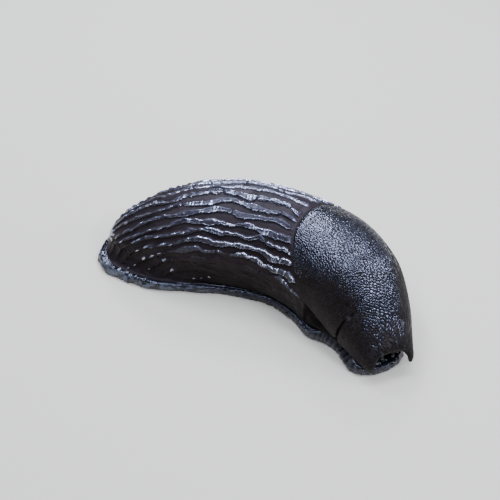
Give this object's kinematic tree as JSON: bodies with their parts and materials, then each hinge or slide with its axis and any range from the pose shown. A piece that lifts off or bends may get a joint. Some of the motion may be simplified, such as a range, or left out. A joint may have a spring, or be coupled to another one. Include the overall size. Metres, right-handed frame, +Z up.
{
  "type": "black slug",
  "caption": "Life-size black slug at rest, body drawn together and bent to one side, head under the mantle hood, standing on its flat sole.",
  "frame": {"origin": "on the ground, at the middle of the slug's outline seen from above", "axes": "+Z up from the ground; +X along the slug's longest extent, from the tail's end towards the head's end; the slug bends towards -Y, and its right side, with the breathing pore, faces -Y"},
  "size_m": [0.081, 0.0574, 0.0239],
  "materials": {
    "back_skin": "wet black-brown skin with long ridges, bluish-white glints on the crests",
    "mantle_skin": "wet black-brown skin with fine, close granules",
    "flank_skin": "wet blue-black skin with fine wrinkles",
    "fringe_skin": "wet slate-grey skin crossed by dark upright lines",
    "sole_skin": "smooth, slimy, pale grey-brown",
    "eye": "glossy black"
  },
  "bodies": {
    "root": {"tail": "back_skin", "back_rear": "back_skin", "back_front": "back_skin", "shoulder": "flank_skin", "mantle": "mantle_skin", "sole_rear": "sole_skin", "sole_front": "sole_skin", "fringe_left_tail": "fringe_skin", "fringe_left_middle": "fringe_skin", "fringe_left_front": "fringe_skin", "fringe_right_tail": "fringe_skin", "fringe_right_middle": "fringe_skin", "fringe_right_front": "fringe_skin", "head": "flank_skin", "tentacle_upper_left": "flank_skin", "tentacle_upper_right": "flank_skin", "tentacle_lower_left": "flank_skin", "tentacle_lower_right": "flank_skin", "eye_left": "eye", "eye_right": "eye"}
  },
  "joints": []
}
